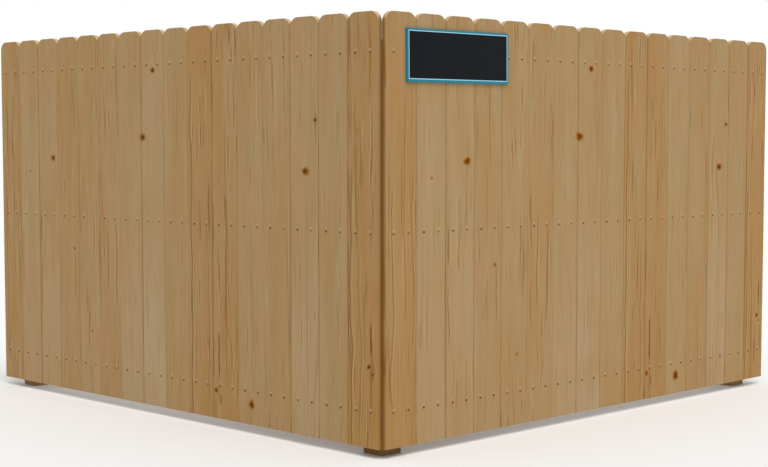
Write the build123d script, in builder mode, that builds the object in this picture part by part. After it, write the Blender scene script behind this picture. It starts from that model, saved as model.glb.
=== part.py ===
# Corner of a board-on-rail privacy fence: two runs of butted pickets that meet at a right angle,
# three rails behind each run, and three square posts. Millimetres, +Z up, feet at Z = 0.

from build123d import *
import os

os.makedirs("parts", exist_ok=True)

# Pickets: nominal six-inch boards, sixteen to an eight-foot run
picket_count = 16
picket_pitch = 152.4
picket_gap = 1.6
corner_gap = 0.2
picket_height = 1524.0
picket_thickness = 19.05
shoulder_radius = 38.1
board_arris = 1.0

# Rails: two-by-four lumber on edge, between the pickets and the posts
rail_depth = 38.1
rail_height = 88.9
rail_arris = 3.0
lowest_rail_rise = 128.0
highest_rail_drop = 144.0

# Posts: rough-sawn four-by-four lumber
post_width = 95.0
post_arris = 4.0
post_foot = 35.0
end_post_inset = 62.0

# Sign plate on the side run, near the corner
sign_length = 538.0
sign_height = 188.0
sign_thickness = 9.0
sign_corner_radius = 4.0
sign_arris = 1.0
sign_from_corner = 115.5
sign_below_tops = 52.0
sign_tilt = 0.5

# Levels
picket_bottom = post_foot
picket_top = picket_bottom + picket_height
rail_levels = {
    "bottom": picket_bottom + lowest_rail_rise,
    "middle": picket_bottom + (lowest_rail_rise + picket_height - highest_rail_drop) / 2,
    "top": picket_top - highest_rail_drop,
}
post_height = rail_levels["top"] + rail_height / 2

# Plan: the front run lies along X and faces -Y, the side run lies along Y and faces +X.
# The origin is at the middle of the plan, so the corner stands at +X and -Y.
picket_width = picket_pitch - picket_gap
run_length = corner_gap + picket_count * picket_pitch - picket_gap
plan_y = run_length + picket_thickness
plan_x = plan_y + sign_thickness
side_face = plan_x / 2 - sign_thickness
front_face = -plan_y / 2
side_picket_back = side_face - picket_thickness
front_picket_back = front_face + picket_thickness
side_rail_back = side_picket_back - rail_depth
front_rail_back = front_picket_back + rail_depth
front_run_end = side_picket_back - run_length
side_run_end = front_picket_back + run_length


def face_plane_front(along, level):
    # On the front run's outer face: right is +X, up is +Z, and the normal points out along -Y
    return Plane(origin=(along, front_face, level), x_dir=(1, 0, 0), z_dir=(0, -1, 0))


def face_plane_side(along, level):
    # On the side run's outer face: right is +Y, up is +Z, and the normal points out along +X
    return Plane(origin=(side_face, along, level), x_dir=(0, 1, 0), z_dir=(1, 0, 0))


def save(piece, name):
    piece.label = name
    export_step(piece, f"parts/{name}.step")


# A picket: a board with quarter-round shoulders and eased edges round its faces.
# The two corner boards keep their back edges square, so that they close the corner.
def make_picket(face_plane, at_corner):
    with BuildPart() as picket:
        with BuildSketch(face_plane) as outline:
            Rectangle(picket_width, picket_height, align=(Align.CENTER, Align.MIN))
            fillet(outline.vertices().group_by(Axis.Y)[-1], shoulder_radius)
        extrude(amount=-picket_thickness)
        broad_faces = picket.faces().sort_by(SortBy.AREA)[-2:]
        back_to_front = broad_faces.sort_by(Axis((0, 0, 0), face_plane.z_dir))
        eased_faces = back_to_front[-1:] if at_corner else back_to_front
        chamfer(eased_faces.edges(), board_arris)
    return picket.part


for number in range(1, picket_count + 1):
    station = corner_gap + picket_width / 2 + (number - 1) * picket_pitch
    front_plane = face_plane_front(side_picket_back - station, picket_bottom)
    side_plane = face_plane_side(front_picket_back + station, picket_bottom)
    save(make_picket(front_plane, number == 1), f"front_picket_{number:02d}")
    save(make_picket(side_plane, number == 1), f"side_picket_{number:02d}")


# The front rails run through to the back of the side pickets
for place, level in rail_levels.items():
    with BuildPart() as front_rail:
        section = Plane(origin=(front_run_end, front_picket_back, level), x_dir=(0, 1, 0), z_dir=(1, 0, 0))
        with BuildSketch(section):
            RectangleRounded(rail_depth, rail_height, rail_arris, align=(Align.MIN, Align.CENTER))
        extrude(amount=run_length)
    save(front_rail.part, f"front_rail_{place}")


# The side rails butt against the back of the front rails
for place, level in rail_levels.items():
    with BuildPart() as side_rail:
        section = Plane(origin=(side_picket_back, front_rail_back, level), x_dir=(-1, 0, 0), z_dir=(0, 1, 0))
        with BuildSketch(section):
            RectangleRounded(rail_depth, rail_height, rail_arris, align=(Align.MIN, Align.CENTER))
        extrude(amount=side_run_end - front_rail_back)
    save(side_rail.part, f"side_rail_{place}")


# The posts stand behind the rails: one inside the corner and one near each free end
half_post = post_width / 2
corner_x = side_rail_back - half_post
corner_y = front_rail_back + half_post
post_places = {
    "corner_post": (corner_x, corner_y),
    "front_end_post": (front_run_end + end_post_inset + half_post, corner_y),
    "side_end_post": (corner_x, side_run_end - end_post_inset - half_post),
}
for name, place in post_places.items():
    with BuildPart() as post:
        with BuildSketch() as section:
            with Locations(place):
                RectangleRounded(post_width, post_width, post_arris)
        extrude(amount=post_height)
    save(post.part, name)


# The sign plate lies flat on the side pickets, hung by hand and so a little out of level
sign_middle = front_face + sign_from_corner + sign_length / 2
sign_level = picket_top - sign_below_tops - sign_height / 2
with BuildPart() as sign_plate:
    with BuildSketch(face_plane_side(sign_middle, sign_level)):
        RectangleRounded(sign_length, sign_height, sign_corner_radius, rotation=sign_tilt)
    extrude(amount=sign_thickness)
    chamfer(sign_plate.faces().sort_by(Axis.X)[-1].edges(), sign_arris)
save(sign_plate.part, "sign_plate")
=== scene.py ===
import math
import random

import bmesh
import bpy
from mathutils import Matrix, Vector, noise


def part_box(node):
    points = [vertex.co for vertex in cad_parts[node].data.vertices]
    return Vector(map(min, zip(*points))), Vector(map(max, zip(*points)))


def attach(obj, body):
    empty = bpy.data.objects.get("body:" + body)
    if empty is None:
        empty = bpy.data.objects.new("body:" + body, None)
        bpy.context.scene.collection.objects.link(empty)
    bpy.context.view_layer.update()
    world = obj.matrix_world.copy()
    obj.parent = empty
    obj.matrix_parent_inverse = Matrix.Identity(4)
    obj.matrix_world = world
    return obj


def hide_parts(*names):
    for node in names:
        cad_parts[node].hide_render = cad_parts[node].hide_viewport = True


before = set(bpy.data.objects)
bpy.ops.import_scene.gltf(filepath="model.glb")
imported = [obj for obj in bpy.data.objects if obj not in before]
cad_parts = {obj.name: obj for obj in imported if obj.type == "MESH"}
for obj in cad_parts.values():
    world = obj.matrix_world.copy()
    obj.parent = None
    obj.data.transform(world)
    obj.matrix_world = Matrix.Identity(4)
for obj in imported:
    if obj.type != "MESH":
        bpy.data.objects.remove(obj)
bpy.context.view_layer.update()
print("frame loaded,", len(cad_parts), "nodes")


# Where the boards stand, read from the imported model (metres)

boardsPerRun = 16
railPlaces = ("bottom", "middle", "top")
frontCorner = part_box("front_picket_01")      # the front board beside the corner
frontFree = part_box("front_picket_16")        # the front board at the free end
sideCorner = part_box("side_picket_01")
boardWidth = frontCorner[1].x - frontCorner[0].x
boardThick = frontCorner[1].y - frontCorner[0].y
boardHeight = frontCorner[1].z - frontCorner[0].z
boardBottom = frontCorner[0].z
pitch = (frontCorner[0].x - frontFree[0].x) / (boardsPerRun - 1)
frontFace = frontCorner[0].y                 # outer faces of the two runs
sideFace = sideCorner[1].x
railLevels = [sum(c.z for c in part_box("front_rail_" + place)) / 2 for place in railPlaces]


def runMiddle(run, node):
    low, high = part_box(node)
    return (low.x + high.x) / 2 if run == "front" else (low.y + high.y) / 2


# from a piece's own across, depth and up to the world, on either run
def ontoRun(run, middle, level, sink=0.0):
    if run == "front":
        return lambda a, d, u: (middle + a, frontFace + d + sink, level + u)
    return lambda a, d, u: (sideFace - d - sink, middle + a, level + u)


def srgb(red, green, blue):
    def linear(v):
        v /= 255
        return v / 12.92 if v <= 0.04045 else ((v + 0.055) / 1.055) ** 2.4
    return (linear(red), linear(green), linear(blue), 1.0)


# Shader maths: a Sock is one output socket, and operators on it add Math nodes

class Sock:
    def __init__(self, tree, socket=None):
        self.tree = tree
        self.socket = socket

    # any node: its type, its settings (set first), the values or links of its sockets
    def node(self, kind, settings, sockets, out=0):
        made = self.tree.nodes.new(kind)
        for key, value in settings.items():
            setattr(made, key, value)
        for key, value in sockets.items():
            if isinstance(value, Sock):
                self.tree.links.new(value.socket, made.inputs[key])
            else:
                made.inputs[key].default_value = value
        return Sock(self.tree, made.outputs[out] if made.outputs else None)

    def math(self, operation, *terms):
        return self.node("ShaderNodeMath", {"operation": operation}, dict(enumerate(terms)))

    def __add__(self, other):
        return self.math("ADD", self, other)

    def __radd__(self, other):
        return self.math("ADD", other, self)

    def __sub__(self, other):
        return self.math("SUBTRACT", self, other)

    def __rsub__(self, other):
        return self.math("SUBTRACT", other, self)

    def __mul__(self, other):
        return self.math("MULTIPLY", self, other)

    def __rmul__(self, other):
        return self.math("MULTIPLY", other, self)

    def __neg__(self):
        return self.math("MULTIPLY", self, -1.0)

    def __abs__(self):
        return self.math("ABSOLUTE", self)

    def atMost(self, other):
        return self.math("MINIMUM", self, other)

    def atLeast(self, other):
        return self.math("MAXIMUM", self, other)

    def clamp(self):
        return self.atLeast(0.0).atMost(1.0)

    # 0 below low, 1 above high, smooth between
    def step(self, low, high):
        return self.node("ShaderNodeMapRange", {"interpolation_type": "SMOOTHSTEP"},
                         {"Value": self, "From Min": low, "From Max": high})

    # self is the share of the second colour
    def blend(self, first, second):
        return self.node("ShaderNodeMix", {"data_type": "RGBA"}, {0: self, 6: first, 7: second}, 2)

    def vector(self, x, y, z):
        return self.node("ShaderNodeCombineXYZ", {}, {0: x, 1: y, 2: z})

    def split(self):
        return [self.node("ShaderNodeSeparateXYZ", {}, {0: self}, n) for n in range(3)]

    # soft noise whose grain is stretched: three scales per metre
    def noise(self, scales, detail=2.0, rough=0.5):
        scaled = self.node("ShaderNodeVectorMath", {"operation": "MULTIPLY"}, {0: self, 1: scales})
        return self.node("ShaderNodeTexNoise", {}, {"Vector": scaled, "Scale": 1.0, "Detail": detail,
                                                    "Roughness": rough})


def startMaterial(name):
    material = bpy.data.materials.new(name)
    material.use_nodes = True
    material.node_tree.nodes.clear()
    return material, Sock(material.node_tree)


def endMaterial(sock, sockets):
    shader = sock.node("ShaderNodeBsdfPrincipled", {}, sockets)
    sock.node("ShaderNodeOutputMaterial", {}, {"Surface": shader})


def intoScene(name, mesh):
    data = bpy.data.meshes.new(name)
    mesh.to_mesh(data)
    mesh.free()
    piece = bpy.data.objects.new(name, data)
    bpy.context.scene.collection.objects.link(piece)
    return piece


def seat(piece, material, slot, *nodes):
    piece.data.materials.append(material)
    if nodes:
        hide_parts(*nodes)
    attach(piece, "root")


# Pine

pine = {
    "pale": srgb(171, 146, 107),
    "plain": srgb(168, 138, 96),
    "warm": srgb(167, 128, 78),
    "rose": srgb(173, 128, 86),
    "olive": srgb(161, 136, 88),
    "bleached": srgb(177, 153, 119),
    "ripe": srgb(166, 121, 62),
    "late": srgb(148, 113, 68),              # dark side of a growth ring
    "streak": srgb(128, 90, 38),
    "fleck": srgb(190, 160, 114),
    # cut end grain: paler wood, and partly a painted highlight for the light that falls on the cut tops
    "endGrainHighlight": srgb(214, 187, 150),
    # long edges: a little darker as sawn wood, and partly painted shade in the gaps between boards
    "sawnEdgeShade": srgb(128, 90, 42),
    # painted shade deep in the gaps between boards
    "gapShade": srgb(120, 82, 30),
    "knotRim": srgb(158, 98, 16),
    "knotCore": srgb(98, 55, 2),
    "crack": srgb(96, 54, 6),
    "warmSpread": 1.7,
    "roseHue": (0.52, 0.74),
    "oliveHue": (0.28, 0.46),
    "oliveShare": 0.45,
    "fibreShare": 0.5,
    "lowPart": (0.30, 0.85),                 # heights over which bleaching and ripening fade out
    "roughness": 0.66,
    "roughSpread": 0.25,
    "specular": 0.08,
    "bumpStrength": 0.35,
    "bumpDepth": 0.0009,
}
ring = {"width": 0.0075, "share": 0.20, "sway": 0.05, "ripple": 0.010, "pithAside": 0.05, "slope": 0.012,
        "lateFrom": 0.25, "lateTo": 0.9, "endShare": 0.45, "poreShare": 0.18}
relief = {"fibre": 0.35, "late": 0.25, "longStreak": 0.25, "dash": 0.2, "tear": 0.4, "crack": 1.5,
          "knot": 0.4}

# plain noise in the wood: cells per metre across, in depth and along the fibre, then detail
figure = {
    "sway": ((3, 3, 0.9), 1),
    "ripple": ((16, 16, 2.5), 2),
    "broad": ((14, 14, 1.4), 3),
    "hue": ((26, 26, 4.0), 2),
    "fibre": ((1100, 500, 16), 2),
    "ragged": ((90, 90, 60), 2),
    "wave": ((3, 3, 5), 2),
    "bend": ((30, 30, 14), 2),
}

# marks cut out of noise: where each begins and where it is full
marks = {
    "lateBand": {"cells": (12, 12, 1.2), "detail": 2, "begin": 0.25, "full": 0.75},
    "cluster": {"cells": (10, 10, 1.1), "detail": 2, "begin": 0.38, "full": 0.60},
    "longStreak": {"cells": (62, 40, 2.4), "detail": 2, "begin": 0.58, "full": 0.69, "rough": 0.6},
    "dash": {"cells": (120, 60, 6.0), "detail": 2, "begin": 0.61, "full": 0.72},
    "fleck": {"cells": (95, 50, 3.6), "detail": 2, "begin": 0.61, "full": 0.72},
    "torn": {"cells": (9, 9, 2.6), "detail": 1, "begin": 0.45, "full": 0.58},
    "tear": {"cells": (84, 40, 4.8), "detail": 1, "begin": 0.61, "full": 0.68},
    "low": {"cells": (5, 5, 2.2), "detail": 2, "begin": 0.25, "full": 0.55},
    "pore": {"cells": (700, 700, 700), "detail": 1, "begin": 0.45, "full": 0.8},
    "seam": {"cells": (9, 9, 4), "detail": 2, "begin": 0.30, "full": 0.62},
    # uneven strength of the painted shadow below each nail
    "nailShadow": {"cells": (17, 17, 17), "detail": 1, "begin": 0.35, "full": 0.6},
}
tearWidth = 0.0060                           # the pale side of a tear lies this far from it

# share of each mark on a quiet board, and what a streaky board adds
markShare = {"rose": (0.25, 0.5), "fleck": (0.15, 0.3), "longStreak": (0.15, 0.55), "dash": (0.12, 0.48),
             "lifted": (0.25, 0.2), "tear": (0.22, 0.5)}

# knots on each run: board from the left as seen from outside, across from its middle, height, radius
knots = [
    {"board": 8, "across": 0.004, "up": 1.363, "radius": 0.013, "wide": 1.35, "rim": 0.9, "core": 1.0},
    {"board": 8, "across": -0.067, "up": 1.095, "radius": 0.018, "wide": 1.35, "rim": 0.9, "core": 1.0},
    {"board": 7, "across": 0.0854, "up": 1.095, "radius": 0.018, "wide": 1.35, "rim": 0.9, "core": 1.0},
    {"board": 3, "across": 0.036, "up": 1.005, "radius": 0.015, "wide": 1.35, "rim": 1.0, "core": 1.0},
    {"board": 14, "across": 0.059, "up": 1.153, "radius": 0.010, "wide": 1.35, "rim": 0.6, "core": 1.0},
    {"board": 14, "across": 0.007, "up": 0.967, "radius": 0.016, "wide": 1.35, "rim": 1.0, "core": 1.0},
    {"board": 2, "across": 0.002, "up": 0.946, "radius": 0.006, "wide": 1.35, "rim": 0.4, "core": 0.7},
    {"board": 4, "across": 0.040, "up": 0.618, "radius": 0.009, "wide": 1.35, "rim": 0.5, "core": 0.5},
    {"board": 5, "across": 0.017, "up": 0.270, "radius": 0.008, "wide": 1.35, "rim": 0.4, "core": 0.4},
    {"board": 12, "across": 0.000, "up": 0.076, "radius": 0.021, "wide": 0.95, "rim": 1.0, "core": 1.0},
    {"board": 11, "across": -0.060, "up": 0.110, "radius": 0.013, "wide": 0.95, "rim": 0.7, "core": 1.0},
    {"board": 16, "across": 0.030, "up": 0.287, "radius": 0.012, "wide": 1.05, "rim": 0.6, "core": 1.0},
    {"board": 16, "across": 0.047, "up": 0.262, "radius": 0.007, "wide": 0.85, "rim": 0.4, "core": 1.0},
]
knotLook = {"coreEdge": (0.30, 0.86), "rimEdge": (0.72, 1.22), "ragged": 1.1, "tall": 0.9,
            "parting": 0.75, "partReach": 2.6, "partLong": 0.35, "frontRim": 0.65, "sideRim": 1.0}
cracks = [
    {"board": 11, "across": -0.040, "low": 0.160, "high": 0.345, "width": 0.0052},
    {"board": 11, "across": -0.030, "low": 0.045, "high": 0.105, "width": 0.0045},
    {"board": 16, "across": 0.040, "low": 0.325, "high": 0.450, "width": 0.0050},
]
crackLook = {"fade": 0.025, "bend": 0.012, "share": 0.85}

# the strongest grain lines, which wander up a board
grainLines = [
    {"board": 1, "across": -0.045, "low": 0.10, "high": 0.95, "width": 0.0045, "share": 0.60},
    {"board": 1, "across": 0.018, "low": 0.42, "high": 1.25, "width": 0.0040, "share": 0.50},
    {"board": 1, "across": 0.058, "low": 0.30, "high": 1.00, "width": 0.0045, "share": 0.55},
    {"board": 3, "across": -0.066, "low": 0.60, "high": 0.80, "width": 0.0070, "share": 0.75},
    {"board": 3, "across": -0.060, "low": 0.30, "high": 0.58, "width": 0.0045, "share": 0.65},
    {"board": 4, "across": 0.050, "low": 0.38, "high": 0.64, "width": 0.0060, "share": 0.50},
    {"board": 5, "across": 0.036, "low": 1.17, "high": 1.32, "width": 0.0060, "share": 0.65},
    {"board": 5, "across": 0.032, "low": 1.02, "high": 1.13, "width": 0.0060, "share": 0.65},
    {"board": 5, "across": 0.034, "low": 0.56, "high": 0.84, "width": 0.0050, "share": 0.60},
    {"board": 6, "across": -0.015, "low": 0.42, "high": 0.74, "width": 0.0050, "share": 0.70},
    {"board": 6, "across": 0.045, "low": 0.36, "high": 0.78, "width": 0.0055, "share": 0.70},
    {"board": 10, "across": -0.056, "low": -0.05, "high": 1.36, "width": 0.0055, "share": 0.75},
    {"board": 10, "across": -0.042, "low": 0.30, "high": 1.08, "width": 0.0035, "share": 0.50},
    {"board": 10, "across": 0.048, "low": 0.02, "high": 0.66, "width": 0.0045, "share": 0.55},
    {"board": 11, "across": 0.030, "low": 1.12, "high": 1.34, "width": 0.0045, "share": 0.60},
    {"board": 11, "across": 0.034, "low": 0.14, "high": 0.35, "width": 0.0050, "share": 0.60},
    {"board": 12, "across": -0.022, "low": 0.24, "high": 0.43, "width": 0.0040, "share": 0.50},
    {"board": 14, "across": 0.012, "low": 0.02, "high": 0.92, "width": 0.0040, "share": 0.35},
    {"board": 16, "across": -0.060, "low": -0.05, "high": 0.94, "width": 0.0055, "share": 0.70},
    {"board": 16, "across": -0.015, "low": 0.08, "high": 0.72, "width": 0.0040, "share": 0.50},
]
lineLook = {"fade": 0.08, "wave": 0.034, "solid": 0.25, "paleAside": 1.7, "paleShare": 0.5}

# how each board differs, counted from the left as seen from outside
warmBoards = {1: 0.74, 4: 0.52, 6: 0.60, 10: 0.84, 11: 0.76, 13: 0.60, 16: 0.82}
paleBoards = {2: 0.40, 3: 0.37, 7: 0.39, 8: 0.35, 14: 0.37}
streaky = {1: 0.7, 2: 0.25, 3: 0.30, 4: 0.5, 5: 0.7, 6: 0.7, 10: 1.0, 11: 0.9, 12: 0.4, 13: 0.5,
           14: 0.45, 16: 0.9}
bleached = {2: 0.20, 3: 0.20, 7: 0.40, 8: 0.80, 14: 0.45}            # towards the ground
ripe = {1: 0.38, 9: 0.25, 11: 0.38, 16: 0.40}                        # towards the ground

# how much painted shade lies beside each seam; the darker the seam, the less the boards swell towards it;
# seam n is on the right of board n
seams = {1: 0.40, 2: 0.85, 3: 0.15, 4: 0.25, 7: 0.80, 8: 0.15, 10: 0.95, 11: 0.20, 13: 0.65, 14: 0.40,
         15: 0.90}
# painted shade beside the seams and on the long edges of the boards
boardShade = {"seamReach": 0.011, "seamShadeShare": 0.36, "seamLeast": 0.25, "sawnEdgeShadeShare": 0.12, "gapShadeShare": 0.80}


def mark(field, name):
    look = marks[name]
    cloud = field.noise(look["cells"], look["detail"], look.get("rough", 0.5))
    return cloud.step(look["begin"], look["full"])


# 1 on a line up the board, fading at both ends
def lineMask(off, along, line, fade):
    span = along.step(line["low"], line["low"] + fade) * (1 - along.step(line["high"] - fade, line["high"]))
    return (1 - abs(off).step(line["width"] * lineLook["solid"], line["width"])) * span


# across, depth and along are sockets in metres; endShare is 1 where the cut shows
def pineColours(sock, across, depth, along, endShare, wood):
    draw = random.Random(wood["seed"])

    # every piece is cut from another part of the noise
    def elsewhere(side):
        return sock.vector(side + draw.uniform(-9, 9), depth + draw.uniform(-9, 9),
                           along + draw.uniform(-9, 9))

    def share(name):
        quiet, added = markShare[name]
        return quiet + added * wood["streaks"]

    # fibres part round each knot
    place = elsewhere(across)
    rim = core = None
    flow = across
    ragged = place.noise(*figure["ragged"])
    for knot in wood["knots"]:
        dx = across - knot["across"]
        dz = along - knot["up"]
        size = knot["radius"]
        reach = (dx * dx + dz * dz * knotLook["partLong"]) * (1 / (knotLook["partReach"] * size) ** 2)
        flow = flow - dx * sock.math("EXPONENT", -reach) * knotLook["parting"]
        oval = sock.math("SQRT", dx * dx * (1 / knot["wide"] ** 2) + dz * dz * knotLook["tall"])
        away = oval * (1 / size) + (ragged - 0.5) * knotLook["ragged"]
        thisCore = (1 - away.step(*knotLook["coreEdge"])) * knot["core"]
        thisRim = (1 - away.step(*knotLook["rimEdge"])) * (knot["rim"] * wood["rimShare"])
        core = thisCore if core is None else core.atLeast(thisCore)
        rim = thisRim if rim is None else rim.atLeast(thisRim)
    grain = elsewhere(flow)

    # growth rings cut lengthwise
    wander = (grain.noise(*figure["sway"]) - 0.5) * ring["sway"]
    wander = wander + (grain.noise(*figure["ripple"]) - 0.5) * ring["ripple"]
    offSide = flow - draw.uniform(-ring["pithAside"], ring["pithAside"]) + wander
    offDeep = depth + wood["pith"]
    fromPith = sock.math("SQRT", offSide * offSide + offDeep * offDeep)
    fromPith = fromPith + along * draw.uniform(-ring["slope"], ring["slope"])
    phase = sock.math("FRACT", fromPith * (1 / ring["width"]))
    late = phase.step(ring["lateFrom"], ring["lateTo"]) * (1 - phase.step(ring["lateTo"], 1.0))
    lateShare = late * mark(grain, "lateBand") * ring["share"]

    hue = grain.noise(*figure["hue"])
    fibre = grain.noise(*figure["fibre"])
    cluster = mark(grain, "cluster")
    longStreak = mark(grain, "longStreak") * cluster
    dash = mark(grain, "dash") * cluster
    # short torn fibres, each with a pale side
    torn = mark(grain, "torn")
    tear = mark(grain, "tear") * torn
    aside = sock.node("ShaderNodeVectorMath", {"operation": "ADD"}, {0: grain, 1: (tearWidth, 0.0, 0.0)})
    lifted = mark(aside, "tear") * torn

    warmth = (grain.noise(*figure["broad"]) - 0.5) * pine["warmSpread"] + wood["warmth"]
    colour = (warmth * 2).clamp().blend(pine["pale"], pine["plain"])
    colour = (warmth * 2 - 1).clamp().blend(colour, pine["warm"])
    colour = (hue.step(*pine["roseHue"]) * share("rose")).blend(colour, pine["rose"])
    colour = ((1 - hue.step(*pine["oliveHue"])) * pine["oliveShare"]).blend(colour, pine["olive"])
    low = (1 - along.step(*pine["lowPart"])) * mark(place, "low")
    for tone in ("bleached", "ripe"):
        if wood[tone]:
            colour = (low * wood[tone]).blend(colour, pine[tone])
    colour = lateShare.blend(colour, pine["late"])
    colour = (mark(grain, "fleck") * share("fleck")).blend(colour, pine["fleck"])
    colour = (longStreak * share("longStreak")).blend(colour, pine["streak"])
    colour = (dash * share("dash")).blend(colour, pine["streak"])
    colour = (lifted * share("lifted")).blend(colour, pine["fleck"])
    colour = (tear * share("tear")).blend(colour, pine["streak"])
    wave = (place.noise(*figure["wave"]) - 0.5) * lineLook["wave"]
    for line in wood["lines"]:
        off = across - line["across"] + wave
        beside = lineMask(off - line["width"] * lineLook["paleAside"], along, line, lineLook["fade"])
        colour = (beside * line["share"] * lineLook["paleShare"]).blend(colour, pine["fleck"])
        onLine = lineMask(off, along, line, lineLook["fade"])
        colour = (onLine * line["share"]).blend(colour, pine["streak"])
    colour = ((fibre - 0.5) * pine["fibreShare"]).clamp().blend(colour, pine["late"])
    height = fibre * relief["fibre"] - late * relief["late"] - longStreak * relief["longStreak"]
    height = height - dash * relief["dash"] - tear * relief["tear"]

    for crack in wood["cracks"]:
        bend = (place.noise(*figure["bend"]) - 0.5) * crackLook["bend"]
        gape = lineMask(across - crack["across"] + bend, along, crack, crackLook["fade"])
        colour = (gape * crackLook["share"]).blend(colour, pine["crack"])
        height = height - gape * relief["crack"]

    # cut faces show rings on end grain painted paler, partly as a painted highlight on the cut tops
    endRings = late * ring["endShare"] + mark(place, "pore") * ring["poreShare"]
    endColour = endRings.blend(pine["endGrainHighlight"], pine["warm"])
    colour = endShare.blend(colour, endColour)
    if core is not None:
        colour = (rim * (1 - endShare)).blend(colour, pine["knotRim"])
        colour = (core * (1 - endShare)).blend(colour, pine["knotCore"])
        height = height + core * relief["knot"]
    return colour, height, fibre


# painted light and shade on a board: shade beside the seams and on the long edges, and a highlight and a
# shadow at each nail
def paintLightOnBoard(sock, colour, across, depth, along, edgeNormal, endShare, wood):
    half = boardWidth / 2
    onBoard = sock.vector(across, depth, along)

    # painted shade on the faces beside the seams, uneven along them
    soft = mark(onBoard, "seam") * (1 - boardShade["seamLeast"]) + boardShade["seamLeast"]
    beside = across.step(half - boardShade["seamReach"], half) * wood["seamRight"]
    beside = beside + (-across).step(half - boardShade["seamReach"], half) * wood["seamLeft"]
    colour = (beside * soft * boardShade["seamShadeShare"]).blend(colour, pine["streak"])

    # long edges are a little darker as sawn wood and partly as painted shade in the gaps; painted shade
    # deepens towards their backs
    edge = abs(edgeNormal).step(0.75, 0.98) * (1 - endShare)
    colour = (edge * boardShade["sawnEdgeShadeShare"]).blend(colour, pine["sawnEdgeShade"])
    colour = (edge * depth.step(0.0, boardThick) * boardShade["gapShadeShare"]).blend(colour, pine["gapShade"])

    # each nail has a painted highlight above it and an uneven painted shadow below
    side = abs(across) - nail["fromMiddle"]
    uneven = nail["shadowLeast"] + (1 - nail["shadowLeast"]) * mark(onBoard, "nailShadow")
    for level in nailLevels:
        dz = along + (boardBottom - level)
        up = dz - nail["highlightUp"]
        nailHighlight = 1 - sock.math("SQRT", side * side * nail["highlightWide"] + up * up).step(*nail["highlightEdge"])
        colour = (nailHighlight * nail["highlightShare"]).blend(colour, nail["nailHighlight"])
        down = dz + nail["shadowDown"]
        far = sock.math("SQRT", side * side * nail["shadowWide"] + down * down * nail["shadowTall"])
        colour = ((1 - far.step(*nail["shadowEdge"])) * uneven).blend(colour, nail["nailShadow"])
    return colour


# which axis runs along the wood, and the sockets measured from the piece's own middle and face
def pineMaterial(name, run, wood):
    material, sock = startMaterial(name)
    x, y, z = sock.node("ShaderNodeTexCoord", {}, {}, 3).split()
    nx, ny, nz = sock.node("ShaderNodeNewGeometry", {}, {}, "True Normal").split()
    if run == "frontBoard":
        across, depth, along, cut = x - wood["middle"], y - frontFace, z - boardBottom, nz
    elif run == "sideBoard":
        across, depth, along, cut = y - wood["middle"], sideFace - x, z - boardBottom, nz
    elif run == "frontRail":
        across, depth, along, cut = z - wood["middle"], y - frontFace, x, nx
    elif run == "sideRail":
        across, depth, along, cut = z - wood["middle"], sideFace - x, y, ny
    else:
        across, depth, along, cut = x - wood["middle"][0], y - wood["middle"][1], z, nz
    endShare = abs(cut).step(0.15, 0.75)
    colour, height, fibre = pineColours(sock, across, depth, along, endShare, wood)
    if run.endswith("Board"):
        edgeNormal = nx if run == "frontBoard" else ny
        colour = paintLightOnBoard(sock, colour, across, depth, along, edgeNormal, endShare, wood)
    if run == "post":
        # painted shade at the post's foot, under the boards, strongest at the corner post
        footShade = 1 - (z + (fibre - 0.5) * framing["footShadeRagged"]).step(*framing["footShadeEdge"])
        colour = (footShade * wood["footShade"]).blend(colour, framing["footShade"])
    bump = sock.node("ShaderNodeBump", {}, {"Strength": pine["bumpStrength"], "Distance": pine["bumpDepth"],
                                            "Height": height})
    endMaterial(sock, {"Base Color": colour, "Normal": bump, "Specular IOR Level": pine["specular"],
                       "Roughness": pine["roughness"] + (fibre - 0.5) * pine["roughSpread"]})
    return material


# A sawn plank: broad faces as a grid of quads, with rounded arrises between them.
# Points are (across, depth, along); depth runs in from the outer face.

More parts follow.
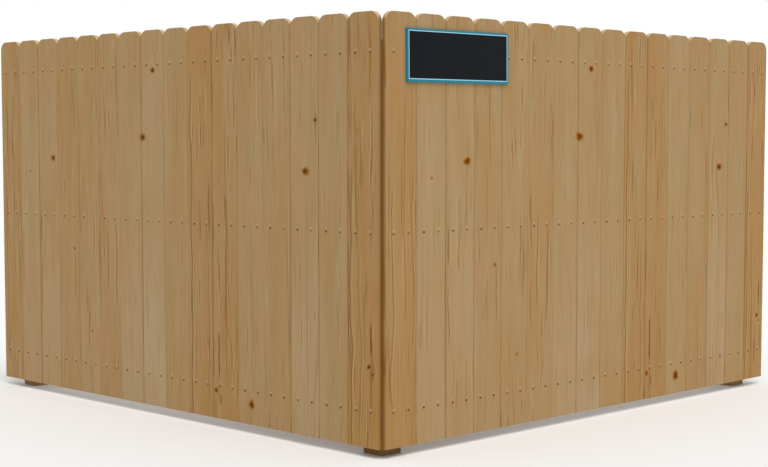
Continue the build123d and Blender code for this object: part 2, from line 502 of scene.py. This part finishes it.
def plank(name, width, length, thick, arris, shoulder, rowStep, columns, toWorld, wood):
    draw = random.Random(wood["seed"] + 5)
    shift = Vector((draw.uniform(0, 50), draw.uniform(0, 50), draw.uniform(0, 50)))
    half = width / 2
    straight = length - max(shoulder, arris)
    count = max(2, round((straight - arris) / rowStep))
    rows = []                                # height, half width, and the way out: across, up
    for n in range(count + 1):
        rows.append((arris + (straight - arris) * n / count, half - arris, 1.0, 0.0))
    if shoulder:
        steps = 10
        for n in range(1, steps + 1):
            turn = math.pi / 2 * n / steps
            up = length - shoulder + (shoulder - arris) * math.sin(turn)
            reach = half - shoulder + (shoulder - arris) * math.cos(turn)
            rows.append((up, reach, math.cos(turn), math.sin(turn)))
    mesh = bmesh.new()

    def vert(across, depth, along):
        outward = (abs(across) / half) ** 3
        sway = noise.noise(Vector((across * 2, 3.1, along * 2.3)) + shift) * (wood["wander"] * outward)
        swell = outward * (wood["swellRight"] if across > 0 else -wood["swellLeft"])
        face = 0.0
        if depth < thick / 2:
            face = wood["cup"] * noise.noise(Vector((across * 9, 7.7, along * 1.7)) + shift)
        return mesh.verts.new(toWorld(across + sway + swell, depth + face - wood["proud"], along))

    outer, back = [], []
    for up, reach, _, _ in rows:
        outer.append([vert(-reach + 2 * reach * c / columns, 0.0, up) for c in range(columns + 1)])
        back.append([vert(-reach + 2 * reach * c / columns, thick, up) for c in range(columns + 1)])
    flat, rounded = [], []
    for r in range(len(rows) - 1):
        for c in range(columns):
            flat.append((outer[r][c], outer[r][c + 1], outer[r + 1][c + 1], outer[r + 1][c]))
            flat.append((back[r][c], back[r + 1][c], back[r + 1][c + 1], back[r][c + 1]))

    # the loop round the outline, with the way out at each point
    loop = []
    last = len(rows) - 1
    topEnd = (1.0, 1.0) if not shoulder else (0.0, 1.0)
    for c in range(columns + 1):
        out = {0: (-1.0, -1.0), columns: (1.0, -1.0)}.get(c, (0.0, -1.0))
        loop.append((0, c, out))
    for r in range(1, last):
        loop.append((r, columns, (rows[r][2], rows[r][3])))
    for c in range(columns, -1, -1):
        out = {0: (-topEnd[0], topEnd[1]), columns: topEnd}.get(c, (0.0, 1.0))
        loop.append((last, c, out))
    for r in range(last - 1, 0, -1):
        loop.append((r, 0, (-rows[r][2], rows[r][3])))

    # from the outer face over both arrises to the back
    bend = math.sin(math.pi / 4)
    inset = arris * (1 - math.cos(math.pi / 4))
    section = ((bend, inset), (1.0, arris), (1.0, thick - arris), (bend, thick - inset))
    strips = []
    for r, c, out in loop:
        up, reach = rows[r][0], rows[r][1]
        across = -reach + 2 * reach * c / columns
        strip = [outer[r][c]]
        for share, depth in section:
            strip.append(vert(across + out[0] * arris * share, depth, up + out[1] * arris * share))
        strips.append(strip + [back[r][c]])
    for n, strip in enumerate(strips):
        m = (n + 1) % len(strips)
        following = strips[m]
        turning = max(rows[loop[n][0]][3], rows[loop[m][0]][3]) > 0
        for k in range(5):
            kept = flat if k == 2 and not turning else rounded       # straight sides stay flat
            kept.append((following[k], strip[k], strip[k + 1], following[k + 1]))
    for corners in flat:
        mesh.faces.new(corners)
    for corners in rounded:
        mesh.faces.new(corners).smooth = True
    bmesh.ops.recalc_face_normals(mesh, faces=mesh.faces)
    return intoScene(name, mesh)


# Boards

board = {"arris": 0.0008, "cornerArris": 0.0003, "shoulder": 0.0381, "rowStep": 0.045, "columns": 8,
         "cup": 0.0006, "wander": 0.0003, "swell": 0.0004, "proudMost": 0.0007,
         "warmth": 0.45, "warmthSpread": 0.05, "streaks": 0.1, "pith": (0.03, 0.11)}


def boardWood(run, fromLeft):
    draw = random.Random(700 * len(run) + fromLeft)
    warmth = warmBoards.get(fromLeft, paleBoards.get(fromLeft, board["warmth"]))
    warmth = warmth + draw.uniform(-board["warmthSpread"], board["warmthSpread"])
    left = seams.get(fromLeft - 1, 0.0)
    right = seams.get(fromLeft, 0.0)
    return {"seed": draw.randrange(10 ** 6), "warmth": warmth, "pith": draw.uniform(*board["pith"]),
            "knots": [k for k in knots if k["board"] == fromLeft],
            "cracks": [k for k in cracks if k["board"] == fromLeft],
            "lines": [k for k in grainLines if k["board"] == fromLeft],
            "streaks": streaky.get(fromLeft, board["streaks"]), "rimShare": knotLook[run + "Rim"],
            "bleached": bleached.get(fromLeft, 0.0), "ripe": ripe.get(fromLeft, 0.0),
            "seamLeft": left, "seamRight": right,
            "swellLeft": board["swell"] * (1 - left), "swellRight": board["swell"] * (1 - right),
            "cup": board["cup"], "wander": board["wander"], "proud": draw.uniform(0, board["proudMost"])}


def makeBoards():
    for number in range(1, boardsPerRun + 1):
        for run, fromLeft in (("front", boardsPerRun + 1 - number), ("side", number)):
            node = f"{run}_picket_{number:02d}"
            wood = boardWood(run, fromLeft)
            wood["middle"] = runMiddle(run, node)
            arris = board["arris"]
            if number == 1:                  # the corner boards close the corner
                arris = board["cornerArris"]
                wood["wander"] = wood["proud"] = 0.0
                wood["swellLeft" if run == "side" else "swellRight"] = 0.0
            toWorld = ontoRun(run, wood["middle"], boardBottom)
            piece = plank(f"{run}_board_{number:02d}", boardWidth, boardHeight, boardThick, arris,
                          board["shoulder"], board["rowStep"], board["columns"], toWorld, wood)
            seat(piece, pineMaterial(f"pine_{run}_{number:02d}", run + "Board", wood), "picket_wood", node)
    print("boards made")


# Rails and posts

framing = {"railArris": 0.003, "postArris": 0.0015, "rowStep": 0.06, "columns": 4, "cup": 0.0004,
           # colour, reach and raggedness of the painted shade at the post feet
           "wander": 0.0003, "streaks": 0.5, "footShade": srgb(78, 46, 18), "footShadeEdge": (0.02, 0.16),
           "footShadeRagged": 0.02, "cornerFootShade": 0.45, "endFootShade": 0.15}


def framingWood(seed, warmth, pith):
    return {"seed": seed, "warmth": warmth, "pith": pith, "knots": [], "cracks": [], "lines": [],
            "streaks": framing["streaks"], "bleached": 0.0, "ripe": 0.0, "cup": framing["cup"],
            "wander": framing["wander"], "swellLeft": 0.0, "swellRight": 0.0, "proud": 0.0}


def makeRails():
    for n, place in enumerate(railPlaces):
        for run in ("front", "side"):
            node = f"{run}_rail_{place}"
            low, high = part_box(node)
            wood = framingWood(900 + 10 * n + len(run), 0.5 + 0.1 * n, 0.02)
            wood["middle"] = middle = (low.z + high.z) / 2
            if run == "front":
                toWorld = lambda a, d, u, low=low, m=middle: (low.x + u, low.y + d, m + a)
                length, deep = high.x - low.x, high.y - low.y
            else:
                toWorld = lambda a, d, u, low=low, high=high, m=middle: (high.x - d, low.y + u, m + a)
                length, deep = high.y - low.y, high.x - low.x
            piece = plank(node + "_wood", high.z - low.z, length, deep, framing["railArris"], 0.0,
                          framing["rowStep"], framing["columns"], toWorld, wood)
            seat(piece, pineMaterial("pine_" + node, run + "Rail", wood), "rail_wood", node)
    print("rails made")


def makePosts():
    for n, node in enumerate(("corner_post", "front_end_post", "side_end_post")):
        low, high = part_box(node)
        wood = framingWood(1500 + n, 0.55, 0.01 + 0.02 * n)
        wood["middle"] = middle = ((low.x + high.x) / 2, (low.y + high.y) / 2)
        # how much painted shade this post's foot gets
        wood["footShade"] = framing["cornerFootShade" if node == "corner_post" else "endFootShade"]
        toWorld = lambda a, d, u, low=low, m=middle: (m[0] + a, low.y + d, u)
        piece = plank(node + "_wood", high.x - low.x, high.z, high.y - low.y, framing["postArris"], 0.0,
                      framing["rowStep"], framing["columns"], toWorld, wood)
        seat(piece, pineMaterial("pine_" + node, "post", wood), "post_wood", node)
    print("posts made")


# Nails: domed heads just proud of the boards, two to a board at each rail

nail = {"fromMiddle": boardWidth / 2 - 0.038, "aboveRail": (0.0030, 0.0035, 0.0065),
        "head": 0.0038, "dome": 0.0016, "shank": 0.0017, "length": 0.048, "point": 0.005,
        "aside": 0.0015, "uneven": 0.002, "sink": (0.0004, 0.0009), "lean": 0.0003,
        "metal": srgb(172, 138, 90), "dark": srgb(132, 98, 56), "specular": 0.12,
        # a painted highlight above each nail head and a painted shadow below it, on the boards
        "nailHighlight": srgb(204, 174, 128), "highlightUp": 0.005, "highlightEdge": (0.003, 0.008),
        "highlightWide": 0.7, "highlightShare": 0.38,
        "nailShadow": srgb(82, 52, 20), "shadowDown": 0.0030, "shadowEdge": (0.0029, 0.0059),
        "shadowWide": 0.55, "shadowTall": 1.3, "shadowLeast": 0.50}
nailLevels = [level + rise for level, rise in zip(railLevels, nail["aboveRail"])]


def nailMaterial():
    material, sock = startMaterial("coated_nail")
    place = sock.node("ShaderNodeTexCoord", {}, {}, 3)
    worn = place.noise((900, 900, 900), 2)
    colour = worn.step(0.40, 0.62).blend(nail["dark"], nail["metal"])
    endMaterial(sock, {"Base Color": colour, "Metallic": worn.step(0.5, 0.9) * 0.2,
                       "Roughness": 0.50 + (worn - 0.5) * 0.4, "Specular IOR Level": nail["specular"]})
    return material


def addNail(mesh, toWorld, draw):
    profile = ((0.35, 0.93), (0.65, 0.72), (0.88, 0.40), (1.0, 0.0))     # radius and rise of the dome
    spokes = 16
    lean = draw.uniform(-nail["lean"], nail["lean"])
    draw.uniform(-nail["lean"], nail["lean"])                            # keeps the later draws in step
    proud = nail["dome"] * draw.uniform(0.85, 1.1)

    def hoop(radius, depth):
        verts = []
        for k in range(spokes):
            turn = 2 * math.pi * k / spokes
            tilt = lean * math.cos(turn) * radius / nail["head"]
            spot = toWorld(radius * math.cos(turn), depth + tilt, radius * math.sin(turn))
            verts.append(mesh.verts.new(spot))
        return verts

    hoops = [hoop(nail["head"] * r, -proud * h) for r, h in profile]
    hoops.append(hoop(nail["head"] * 0.9, 0.0008))                       # underside of the head
    hoops.append(hoop(nail["shank"], 0.0012))
    hoops.append(hoop(nail["shank"], nail["length"] - nail["point"]))
    crown = mesh.verts.new(toWorld(0, -proud, 0))
    point = mesh.verts.new(toWorld(0, nail["length"], 0))
    for k in range(spokes):
        j = (k + 1) % spokes
        mesh.faces.new((crown, hoops[0][k], hoops[0][j])).smooth = True
        for a, b in zip(hoops, hoops[1:]):
            mesh.faces.new((a[k], b[k], b[j], a[j])).smooth = True
        mesh.faces.new((hoops[-1][k], point, hoops[-1][j])).smooth = True


def makeNails():
    material = nailMaterial()
    for run in ("front", "side"):
        for place, level in zip(railPlaces, nailLevels):
            draw = random.Random(run + place)
            mesh = bmesh.new()
            for number in range(1, boardsPerRun + 1):
                middle = runMiddle(run, f"{run}_picket_{number:02d}")
                for hand in (-1, 1):
                    off = hand * nail["fromMiddle"] + draw.uniform(-nail["aside"], nail["aside"])
                    up = level + draw.uniform(-nail["uneven"], nail["uneven"])
                    sink = -draw.uniform(*nail["sink"])
                    addNail(mesh, ontoRun(run, middle + off, up, sink), draw)
            bmesh.ops.recalc_face_normals(mesh, faces=mesh.faces)
            seat(intoScene(f"{run}_nails_{place}", mesh), material, "nail_steel")
    print("nails driven")


# Sign: a plain plate with a painted frame round a bare dark field

sign = {"tilt": math.radians(0.5), "length": 0.538, "height": 0.188, "thick": 0.009, "corner": 0.004,
        "border": 0.0072, "bottomBorder": 0.0104, "line": 0.0031, "bevel": 0.0012, "paintEdge": 0.0004,
        "fieldDrop": 0.0008, "fieldSlope": 0.0006,
        "frameBlue": srgb(48, 123, 142), "lineBlue": srgb(156, 213, 233), "field": srgb(12, 16, 20),
        "scuff": srgb(120, 130, 136), "scuffShare": 0.06, "roughness": 0.42, "specular": 0.08}


def signMaterial(middle):
    material, sock = startMaterial("sign_enamel")
    x, y, z = sock.node("ShaderNodeTexCoord", {}, {}, 3).split()
    dy, dz = y - middle.y, z - middle.z
    along = dy * math.cos(sign["tilt"]) + dz * math.sin(sign["tilt"])
    up = dz * math.cos(sign["tilt"]) - dy * math.sin(sign["tilt"])
    low = up + (sign["height"] / 2 + sign["border"] - sign["bottomBorder"])
    inset = (sign["length"] / 2 - abs(along)).atMost(sign["height"] / 2 - up).atMost(low)
    place = sock.vector(along, up, x)
    scuff = place.noise((60, 160, 60), 4, 0.65)
    grime = place.noise((14, 9, 14), 3)
    lineFrom = sign["border"]
    lineTo = sign["border"] + sign["line"]
    onLine = inset.step(lineFrom - sign["paintEdge"], lineFrom + sign["paintEdge"])
    onField = inset.step(lineTo - sign["paintEdge"], lineTo + sign["paintEdge"])
    colour = onLine.blend(sign["frameBlue"], sign["lineBlue"])
    colour = onField.blend(colour, sign["field"])
    colour = (scuff.step(0.62, 0.8) * sign["scuffShare"]).blend(colour, sign["scuff"])
    rough = sign["roughness"] + (grime - 0.5) * 0.3 + scuff.step(0.6, 0.8) * 0.2
    endMaterial(sock, {"Base Color": colour, "Roughness": rough, "Specular IOR Level": sign["specular"]})
    return material


def makeSign():
    low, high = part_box("sign_plate")
    middle = (low + high) / 2
    mesh = bmesh.new()

    # rounded rectangle, seen from outside
    def outline(inset, out):
        radius = max(sign["corner"] - inset, 0.0008)
        a = sign["length"] / 2 - inset - radius
        b = sign["height"] / 2 - inset - radius
        c, s = math.cos(sign["tilt"]), math.sin(sign["tilt"])
        verts = []
        for n, (ca, cb) in enumerate(((a, b), (-a, b), (-a, -b), (a, -b))):
            for k in range(5):
                turn = math.pi / 2 * (n + k / 4)
                p = ca + radius * math.cos(turn)
                q = cb + radius * math.sin(turn)
                spot = (low.x + out, middle.y + p * c - q * s, middle.z + p * s + q * c)
                verts.append(mesh.verts.new(spot))
        return verts

    thick, bevel = sign["thick"], sign["bevel"]
    lip = sign["border"] + sign["line"]
    loops = [outline(0.0, 0.0), outline(0.0, thick - bevel), outline(bevel * 0.3, thick - bevel * 0.3),
             outline(bevel, thick), outline(lip, thick),
             outline(lip + sign["fieldSlope"], thick - sign["fieldDrop"])]
    for inner, outer in zip(loops[1:], loops):
        count = len(inner)
        for k in range(count):
            mesh.faces.new((outer[k], outer[(k + 1) % count], inner[(k + 1) % count], inner[k]))
    mesh.faces.new(loops[-1])
    mesh.faces.new(list(reversed(loops[0])))
    bmesh.ops.recalc_face_normals(mesh, faces=mesh.faces)
    seat(intoScene("sign_board", mesh), signMaterial(middle), "sign_paint", "sign_plate")
    print("sign made")


# Floor, light and camera

stage = {"floorSize": 60.0, "floor": 0.94, "floorDark": 0.96, "mottle": 0.02, "floorRough": 0.9, "sky": 0.67,
         "sunStrength": 1.4, "sunSoft": 40.0, "sunFrom": (0.50, -0.25, 0.83)}


def makeFloor():
    mesh = bmesh.new()
    bmesh.ops.create_grid(mesh, x_segments=1, y_segments=1, size=stage["floorSize"] / 2)
    floor = intoScene("floor", mesh)
    material, sock = startMaterial("pale_floor")
    cloud = sock.node("ShaderNodeTexCoord", {}, {}, 3).noise((0.6, 0.6, 0.6), 2)
    pale = (stage["floor"],) * 3 + (1.0,)
    dark = (stage["floor"] * stage["floorDark"],) * 3 + (1.0,)
    tone = (cloud * stage["mottle"]).blend(pale, dark)
    endMaterial(sock, {"Base Color": tone, "Roughness": stage["floorRough"], "Specular IOR Level": 0.0})
    floor.data.materials.append(material)


def makeLight():
    world = bpy.data.worlds.new("studio")
    world.use_nodes = True
    world.node_tree.nodes.clear()
    sock = Sock(world.node_tree)
    white = (1.0, 1.0, 1.0, 1.0)
    rayKinds = ("Is Camera Ray", "Is Glossy Ray", "Is Transmission Ray")
    rays = [sock.node("ShaderNodeLightPath", {}, {}, kind) for kind in rayKinds]
    seen = rays[0].atLeast(rays[1]).atLeast(rays[2])
    light = sock.node("ShaderNodeBackground", {}, {"Color": white, "Strength": stage["sky"]})
    backdrop = sock.node("ShaderNodeBackground", {}, {"Color": white, "Strength": 1.0})
    mixed = sock.node("ShaderNodeMixShader", {}, {0: seen, 1: light, 2: backdrop})
    sock.node("ShaderNodeOutputWorld", {}, {"Surface": mixed})
    bpy.context.scene.world = world

    sun = bpy.data.lights.new("key", "SUN")
    sun.energy = stage["sunStrength"]
    sun.angle = math.radians(stage["sunSoft"])
    lamp = bpy.data.objects.new("key", sun)
    lamp.rotation_euler = Vector(stage["sunFrom"]).to_track_quat("Z", "Y").to_euler()
    bpy.context.scene.collection.objects.link(lamp)
    print("stage lit")


# back, aside and above are measured from the corner edge, in board pitches
view = {"back": 34.852, "aside": 0.1527, "above": 7.0012, "pitchDown": 0.0675, "turn": 0.0006,
        "sensor": 36.0, "lens": 72.33, "shiftX": -0.0049, "shiftY": 0.0191}


def makeCamera():
    corner = Vector((sideFace, frontFace, boardBottom))
    right = Vector((1, 1, 0)).normalized()
    ahead = Vector((-1, 1, 0)).normalized()
    above = Vector((0, 0, view["above"]))
    data = bpy.data.cameras.new("photo_view")
    data.sensor_width = view["sensor"]
    data.lens = view["lens"]
    data.shift_x = view["shiftX"]
    data.shift_y = view["shiftY"]
    camera = bpy.data.objects.new("photo_view", data)
    camera.location = corner + pitch * (view["aside"] * right - view["back"] * ahead + above)
    camera.rotation_euler = (math.pi / 2 - view["pitchDown"], 0.0, math.pi / 4 + view["turn"])
    bpy.context.scene.collection.objects.link(camera)
    bpy.context.scene.camera = camera
    print("camera set")


makeBoards()
makeRails()
makePosts()
makeNails()
makeSign()
makeFloor()
makeLight()
makeCamera()
bpy.context.scene.view_settings.view_transform = "Standard"
